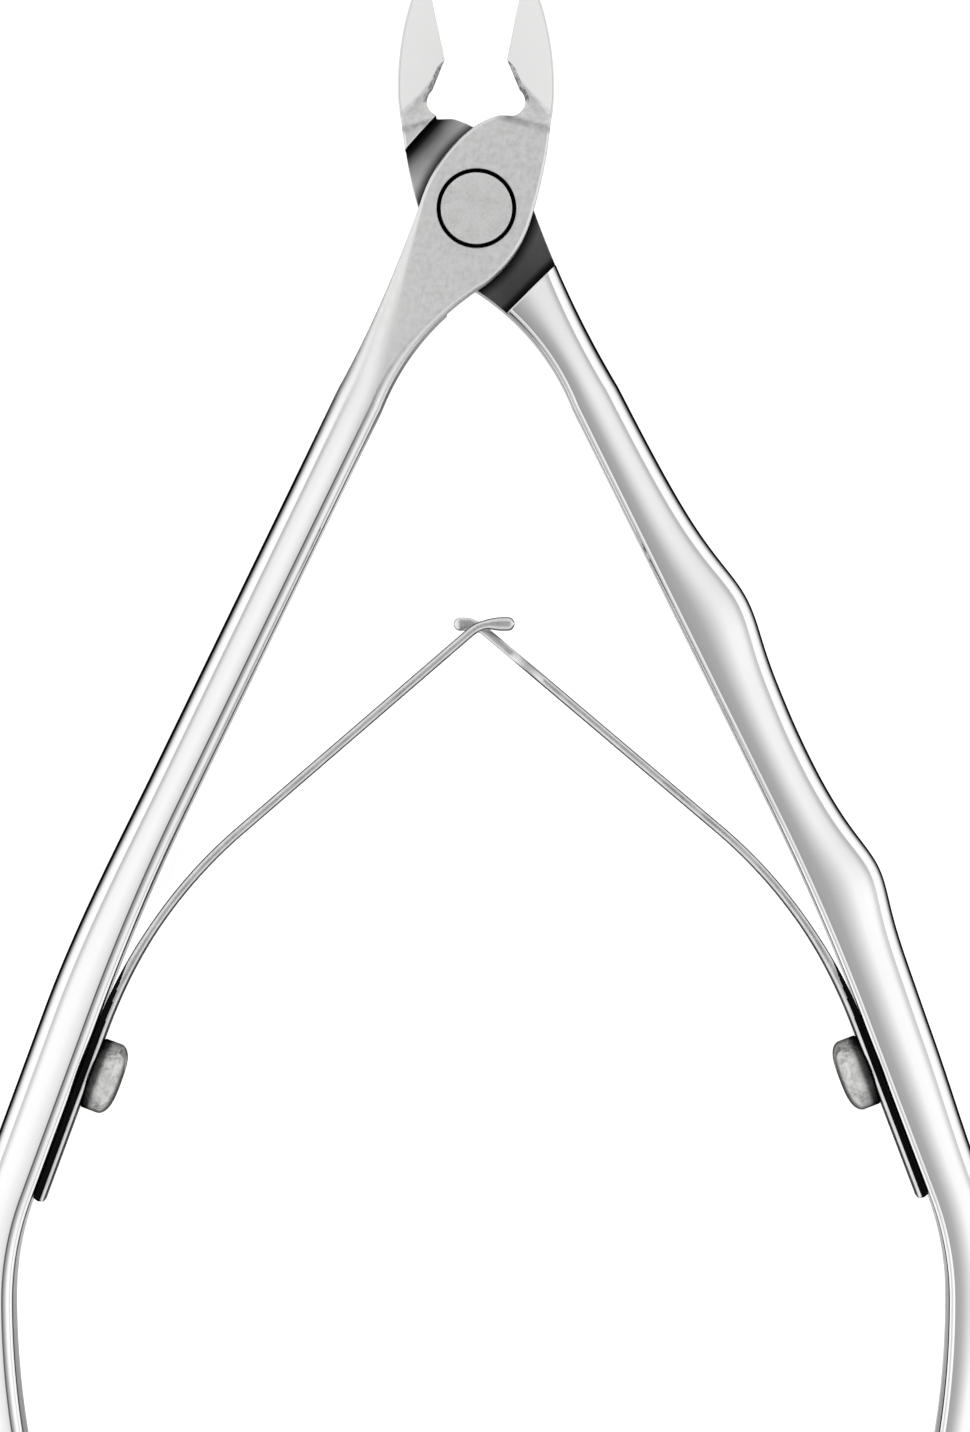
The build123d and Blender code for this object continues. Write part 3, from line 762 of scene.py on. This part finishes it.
def lap_steel():
    """The milled lap faces, coloured with painted shade: near black in the corner at each shoulder and
    along the edge of the cheek that lies over them, rising to grey on the upper one and only to dark
    grey on the lower one."""
    material, add, shader, link = steel("milled lap")
    lines = placed(add, marks_group, Turn=0.74, Scale=1500.0, Draw_out=24.0)
    patches = placed(add, cloud_group, Scale=420.0, Low=0.86, High=1.0)
    # Painted shade across each lap, from near black at its shoulder outward.
    upper = ramp_of(add("ShaderNodeValToRGB", {"Fac": placed(
        add, rise_group, Direction=(0.7415, -0.671, 0.0), From=-6.5 * MM, To=-3.6 * MM)}), [
        (0.0, 0.01), (0.05, 0.03), (0.16, 0.24), (0.34, 0.50), (0.60, 0.66), (0.9, 0.72)])
    lower = ramp_of(add("ShaderNodeValToRGB", {"Fac": placed(
        add, rise_group, Direction=(-0.708, 0.706, 0.0), From=-6.7 * MM, To=-3.0 * MM)}), [
        (0.0, 0.01), (0.04, 0.02), (0.12, 0.12), (0.7, 0.15)])
    # Painted shade along the cheek's edge: the colour drops to a tenth next to it.
    upper_r, lower_r = arc_radius(*CHEEK_SHOULDER) * MM, arc_radius(*CHEEK_FOOT) * MM
    upper_rim = placed(add, reach_group, Centre=solid(arc_centre(*CHEEK_SHOULDER)) * MM,
                       From=1.01 * upper_r, To=1.09 * upper_r)
    lower_rim = placed(add, reach_group, Centre=solid(arc_centre(*CHEEK_FOOT)) * MM,
                       From=1.00 * lower_r, To=1.10 * lower_r)
    is_upper = placed(add, rise_group, Direction=(0.0, 1.0, 0.0), From=-0.5 * MM, To=0.5 * MM)
    tone = add("ShaderNodeMix", {
        "Factor": is_upper, "A": lower.outputs["Color"], "B": upper.outputs["Color"]}, data_type="RGBA")
    rim = add("ShaderNodeMix", {"Factor": is_upper, "A": lower_rim, "B": upper_rim})
    cheek_edge_shade = add("ShaderNodeMapRange", {"Value": in_use(rim.outputs), "To Min": 0.10, "To Max": 1.0})
    scale = add("ShaderNodeMath", {0: patches, 1: in_use(cheek_edge_shade.outputs)}, operation="MULTIPLY")
    toned = add("ShaderNodeVectorMath", {0: in_use(tone.outputs)}, operation="SCALE")
    link(scale.outputs[0], toned.inputs["Scale"])
    link(toned.outputs[0], shader.inputs["Base Color"])
    shader.inputs["Roughness"].default_value = 0.5
    bump = add("ShaderNodeBump", {"Height": lines, "Strength": 0.4, "Distance": 0.00003})
    link(bump.outputs["Normal"], shader.inputs["Normal"])
    return material


def rough_steel(name, dark, light, pit_depth):
    """Steel left as forged or as cut: mottled between two greys, and pitted."""
    material, add, shader, link = steel(name)
    broad = placed(add, cloud_group, Scale=1500.0, Low=0.0, High=1.0)
    fine = placed(add, cloud_group, Scale=4200.0, Low=0.0, High=1.0)
    both = add("ShaderNodeMix", {"Factor": 0.5, "A": broad, "B": fine})
    tone = ramp_of(add("ShaderNodeValToRGB", {"Fac": in_use(both.outputs)}), [(0.15, dark), (0.85, light)])
    link(tone.outputs["Color"], shader.inputs["Base Color"])
    shader.inputs["Roughness"].default_value = 0.6
    bump = add("ShaderNodeBump", {"Height": in_use(both.outputs), "Strength": 0.6, "Distance": pit_depth})
    link(bump.outputs["Normal"], shader.inputs["Normal"])
    return material


# The bores' material is near-black painted shade for the deep gap round the rivet; the lap's is painted shade
# too.
finishes_and_shades = [lap_steel(), rough_steel("rough neck edge", 0.22, 0.85, 0.00006),
            rough_steel("bore painted shade", 0.004, 0.02, 0.00002)]
for piece, own in ((front, lever_steel("front lever steel", -20.0, -6.5, 0.2, 1)),
                   (rear, lever_steel("rear lever steel", -3.5, -1.5, -0.2, -1))):
    for finish in (own, *finishes_and_shades):
        piece.data.materials.append(finish)

# ---------------------------------------------------------------- the pivot rivet
# A turned steel rivet holds the two cheeks together.  Its flat head sits in the front cheek's
# counterbore, flush and a little dull, and its tail is ground flush with the back.

EDGE_ROUND = 0.10
head_r, shank_r = PIVOT_HEAD_D / 2, PIVOT_D / 2
rim_turn = np.linspace(0, math.pi / 2, 8)
rim_r = head_r - EDGE_ROUND * (1 - np.cos(rim_turn))
rim_z = THICKNESS - EDGE_ROUND * (1 - np.sin(rim_turn))
tail_r = shank_r - 0.05 * (1 - np.cos(rim_turn[::-1]))
tail_z = 0.05 * (1 - np.sin(rim_turn[::-1]))
rivet_profile = [(0, 0), (shank_r * 0.5, 0), *zip(tail_r, tail_z), (shank_r, THICKNESS - PIVOT_HEAD_H),
                 (head_r, THICKNESS - PIVOT_HEAD_H), *zip(rim_r, rim_z),
                 (head_r * 0.5, THICKNESS), (0, THICKNESS)]
rivet = smooth(turned("pivot_rivet_turned", rivet_profile, (0, 0, 0), (0, 0, 1), 128))
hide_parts("pivot_rivet")
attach(rivet, "rear")

material, add, shader, link = steel("pivot steel")
blotch = placed(add, cloud_group, Scale=700.0, Low=0.0, High=1.0)
speck = placed(add, cloud_group, Scale=3600.0, Low=0.0, High=1.0)
both = add("ShaderNodeMix", {"Factor": 0.45, "A": blotch, "B": speck})
tone = ramp_of(add("ShaderNodeValToRGB", {"Fac": in_use(both.outputs)}), [
    (0.0, (0.70, 0.70, 0.695)), (0.5, (0.83, 0.83, 0.825)), (1.0, (0.92, 0.92, 0.915))])
link(tone.outputs["Color"], shader.inputs["Base Color"])
rough = add("ShaderNodeMapRange", {"Value": in_use(both.outputs), "To Min": 0.62, "To Max": 0.45})
link(in_use(rough.outputs), shader.inputs["Roughness"])
bump = add("ShaderNodeBump", {"Height": in_use(both.outputs), "Strength": 0.5, "Distance": 0.00004})
link(bump.outputs["Normal"], shader.inputs["Normal"])
rivet.data.materials.append(material)

# ---------------------------------------------------------------- the leaf springs
# Two strips of spring steel stand on edge between the handles.  Each is screwed flat to its handle,
# bows to the middle and curls over.  The right one ends in a tongue that passes through a slot in
# the left one, which holds the pair together.

FOOT_T = 0.8
ARM_T = 0.62
LEAF_W = 4.6
LEAF_SEAT = 0.03
FOOT_LENGTH = 12.6
LEAF_BEND_R = 34.0
LEAF_REACH_ANGLE = 49.5
TIP_FROM_CENTRE = 0.56
TIP_R = 2.4
LEFT_TIP = 1.54
RIGHT_TIP = 0.73
FLEX_FROM_CLAMP = 5.9
TONGUE_W = 1.6
TONGUE_FROM = 2.4
SLOT_W = 2.4
SLOT_SPAN = (-2.1, 1.6)
BEAD_T = 0.92               # the rolled end of the tip
ROLL = 0.13                 # share of the half width taken up by the rounding of each edge

clamp = foot_top - UP_THE_FOOT * CLAMP_AT + INWARD * LEAF_SEAT


def leaf(name, mirror, tongue, tip_length):
    """A leaf: a rounded oblong section, half thickness by half width, carried along the bent line of
    foot, bow, reach and curl.  Its thickness eases from foot to arm and swells to a bead at the tip,
    and a quarter ellipse closes either end."""
    start = clamp - UP_THE_FOOT * FOOT_LENGTH + INWARD * FOOT_T / 2
    foot_and_bow = [(FOOT_LENGTH, 0), (LEAF_BEND_R, LEAF_REACH_ANGLE - FOOT_ANGLE)]
    bow_end = bent_line(start, FOOT_ANGLE, foot_and_bow, 1)[0][-1]
    reach = (-TIP_FROM_CENTRE - bow_end[0]) / math.sin(math.radians(LEAF_REACH_ANGLE))
    steps = [*foot_and_bow, (reach, 0), (TIP_R, 90 - LEAF_REACH_ANGLE), (tip_length, 0)]
    line, heading, reached = bent_line(start, FOOT_ANGLE, steps, 0.12)
    whole = reached[-1]
    thickness = FOOT_T + (ARM_T - FOOT_T) * ease(reached, (FOOT_LENGTH, FOOT_LENGTH + 9))
    thickness = thickness + (BEAD_T - ARM_T) * ease(reached, (whole - 2.2, whole - 0.9))
    width = np.full_like(reached, LEAF_W)
    if tongue:
        width = width - (LEAF_W - TONGUE_W) * ease(line[:, 0], (-TONGUE_FROM - 2.2, -TONGUE_FROM + 0.1))
    closing = np.minimum((whole - reached) / (BEAD_T / 2), reached / 0.12)
    closing = np.sqrt(1 - (1 - np.clip(closing, 0.02, 1)) ** 2)
    at = np.linspace(0, 2 * math.pi, 56, endpoint=False)
    shape_t = np.sign(np.cos(at)) * np.abs(np.cos(at)) ** (2 / 2.6)
    shape_w = np.sign(np.sin(at)) * (1 - (1 - np.abs(np.sin(at)) ** (2 / 2.6)) * ROLL)
    side = facing(heading + 90)
    sideways = (thickness * closing / 2)[:, None] * shape_t
    upward = (width / 2 - 0.2 * (1 - closing))[:, None] * shape_w
    grid = np.concatenate([line[:, None] + side[:, None] * sideways[:, :, None], MID + upward[:, :, None]], 2)
    if mirror:
        grid = grid * (-1, 1, 1)
    return closed_mesh(name, grid)


def post(name, low, high, corner, axis_centre, height):
    """An upright rounded block for cutting a slot: a rounded rectangle in x and z, drawn out along y."""
    at = np.linspace(0, 2 * math.pi, 64, endpoint=False)
    quarter = np.stack([np.sign(np.cos(at)), np.sign(np.sin(at))], -1)
    half = (np.array(high) - np.array(low)) / 2
    middle = (np.array(high) + np.array(low)) / 2
    ring = middle + quarter * (half - corner) + corner * np.stack([np.cos(at), np.sin(at)], -1)
    y = np.array([axis_centre - height, axis_centre + height])
    grid = np.stack([np.broadcast_to(ring[:, 0], (2, 64)), np.broadcast_to(y[:, None], (2, 64)),
                     np.broadcast_to(ring[:, 1], (2, 64))], -1)
    return closed_mesh(name, grid)


left_leaf = leaf("left_spring_leaf", False, False, LEFT_TIP)
right_leaf = leaf("right_spring_leaf", True, True, RIGHT_TIP)
tip_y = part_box("left_spring_arm")[1].y / MM
slot_low, slot_high = (SLOT_SPAN[0], MID - SLOT_W / 2), (SLOT_SPAN[1], MID + SLOT_W / 2)
cut(left_leaf, post("slot cutter", slot_low, slot_high, 0.35, tip_y, 12.0))

SCREW_SEAT = solid(screw_at + INWARD * LEAF_SEAT) + (0, 0, MID)
for piece, flip in ((left_leaf, False), (right_leaf, True)):
    seat, inward = (reflected(SCREW_SEAT), reflected(solid(INWARD))) if flip else (SCREW_SEAT, solid(INWARD))
    cut(piece, turned("leaf hole", [(1.1, -1), (1.1, 2)], seat, inward, 48))
    smooth(piece, 40)

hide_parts("left_spring_foot", "left_spring_arm")
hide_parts("right_spring_foot", "right_spring_arm")
to_flex = [(LEAF_BEND_R, math.degrees(FLEX_FROM_CLAMP / LEAF_BEND_R))]
flex = bent_line(clamp + INWARD * FOOT_T / 2, FOOT_ANGLE, to_flex, 1)
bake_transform(left_leaf)
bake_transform(right_leaf)


def leaf_steel(name, grey, cloud_low, cloud_high):
    """Tempered strip, a little cloudy, its colour darkened by painted edge shade where its rounded edges turn
    away from the eye.
    """
    material, add, shader, link = steel(name)
    wiped = placed(add, cloud_group, Scale=500.0, Low=cloud_low, High=cloud_high)
    link(wiped, shader.inputs["Roughness"])
    shade = placed(add, cloud_group, Scale=900.0, Low=0.86, High=1.0)
    toned = add("ShaderNodeVectorMath", {0: (grey, grey, grey)}, operation="SCALE")
    link(shade, toned.inputs["Scale"])
    link(painted_edge_shade(add, toned.outputs[0], 1.0, 0.14, 0.52), shader.inputs["Base Color"])
    grain = placed(add, cloud_group, Scale=5000.0, Low=0.0, High=1.0)
    bump = add("ShaderNodeBump", {"Height": grain, "Strength": 0.2, "Distance": 0.00002})
    link(bump.outputs["Normal"], shader.inputs["Normal"])
    return material


def shade_the_foot(piece, inward):
    """Gives the second material, near-black painted shade of the gap against the handle, to every face
    that lies less than the shaded depth from the handle, so the painted shade ends by itself where
    the leaf bows away."""
    depth = of_faces(piece, "center") / MM @ inward - float(np.dot(foot_top, INWARD))
    piece.data.polygons.foreach_set("material_index", (depth < FOOT_SHADE_DEPTH).astype(np.int32))


FOOT_SHADE_DEPTH = 0.54          # mm from the handle that the painted gap shade reaches
bare = leaf_steel("spring steel", 0.93, 0.24, 0.36)
# The second leaf material is near-black painted shade for the foot where it lies against the handle.
foot_gap_shade = leaf_steel("blued spring steel", 0.01, 0.30, 0.45)
for piece, inward in ((left_leaf, solid(INWARD)), (right_leaf, reflected(solid(INWARD)))):
    piece.data.materials.append(bare)
    piece.data.materials.append(foot_gap_shade)
    shade_the_foot(piece, inward)

# ---------------------------------------------------------------- the spring screws
# A domed, slotted steel screw holds each leaf's foot to its handle.  The heads are barrel tumbled,
# not polished, so they are pitted and a little cloudy.

HEAD_D = 5.1
RIM_H = 1.25
DOME_H = 0.9
SLOT_WIDE = 0.7
SLOT_DEEP = 0.8
SLOT_TURN = 32.0


def screw(name, flip):
    """A turned screw: a shank, an underside with a quarter-round corner, an upright rim and a dome of
    radius r cos(t)^0.62 and height sin(t), with a straight slot cut across the dome."""
    r = HEAD_D / 2
    low, rim = FOOT_T, FOOT_T + RIM_H
    turn = np.linspace(0, math.pi / 2, 9)
    under = [(r - 0.2 * (1 - math.sin(t)), low + 0.2 * (1 - math.cos(t))) for t in turn]
    dome_turn = np.linspace(0, math.pi / 2, 28)
    dome = [(r * math.cos(t) ** 0.62, rim + DOME_H * math.sin(t)) for t in dome_turn]
    shank_r = SCREW_SHANK_D / 2
    shank = [(0, low - 3.3), (shank_r - 0.2, low - 3.3), (shank_r, low - 3.1), (shank_r, low)]
    seat, inward, up = SCREW_SEAT, solid(INWARD), solid(UP_THE_FOOT)
    if flip:
        seat, inward, up = reflected(seat), reflected(inward), reflected(up)
    body = turned(name, [*shank, *under, *dome], seat, inward, 120)
    side = np.cross(inward, up)
    turn = math.radians(SLOT_TURN) * (-1 if flip else 1)
    along = math.cos(turn) * up + math.sin(turn) * side
    over = np.cross(inward, along)
    top = seat + inward * (rim + DOME_H)
    corners = np.array([(-1, -1), (1, -1), (1, 1), (-1, 1)], float)
    ring = top + corners[:, :1] * over * SLOT_WIDE / 2 + corners[:, 1:] * inward * SLOT_DEEP
    grid = np.stack([ring + along * HEAD_D * w for w in (-1, 1)])
    cut(body, closed_mesh("slot cutter", grid))
    return smooth(body, 35)


left_screw = screw("left_spring_screw_turned", False)
right_screw = screw("right_spring_screw_turned", True)
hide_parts("left_spring_screw")
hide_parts("right_spring_screw")
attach(left_screw, "front")
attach(right_screw, "rear")


def screw_steel(name, inward):
    """Tumbled steel, pitted, with painted shade: darkest under the head, lightest across the rim, a
    little darker towards the top of the dome, and falling dark where its rounded faces turn from the eye.
    """
    material, add, shader, link = steel(name)
    pits = placed(add, cloud_group, Scale=1500.0, Low=0.0, High=1.0)
    fine = placed(add, cloud_group, Scale=4200.0, Low=0.0, High=1.0)
    both = add("ShaderNodeMix", {"Factor": 0.4, "A": pits, "B": fine})
    tone = ramp_of(add("ShaderNodeValToRGB", {"Fac": in_use(both.outputs)}), [
        (0.0, (0.50, 0.50, 0.49)), (0.5, (0.86, 0.86, 0.85)), (1.0, (0.98, 0.98, 0.97))])
    # Painted shade along the screw's axis: near black under the head, light on the rim, a little darker
    # towards the dome's top.
    seat_at = float(np.dot(foot_top, INWARD)) * MM
    along = placed(add, rise_group, Direction=inward, From=seat_at + 0.8 * MM, To=seat_at + 3.0 * MM)
    under_head_shade = ramp_of(add("ShaderNodeValToRGB", {"Fac": along}), [
        (0.0, 0.03), (0.12, 0.14), (0.26, 0.75), (0.45, 1.0), (0.72, 0.92), (1.0, 0.80)])
    toned = add("ShaderNodeMix", {"Factor": 1.0, "A": tone.outputs["Color"], "B": under_head_shade.outputs["Color"]},
                data_type="RGBA", blend_type="MULTIPLY")
    link(painted_edge_shade(add, in_use(toned.outputs), 0.8, 0.50, 0.90), shader.inputs["Base Color"])
    rough = add("ShaderNodeMapRange", {"Value": in_use(both.outputs), "To Min": 0.5, "To Max": 0.3})
    link(in_use(rough.outputs), shader.inputs["Roughness"])
    bump = add("ShaderNodeBump", {"Height": in_use(both.outputs), "Strength": 0.6, "Distance": 0.00007})
    link(bump.outputs["Normal"], shader.inputs["Normal"])
    return material


left_screw.data.materials.append(screw_steel("left screw steel", solid(INWARD)))
right_screw.data.materials.append(screw_steel("right screw steel", reflected(solid(INWARD))))
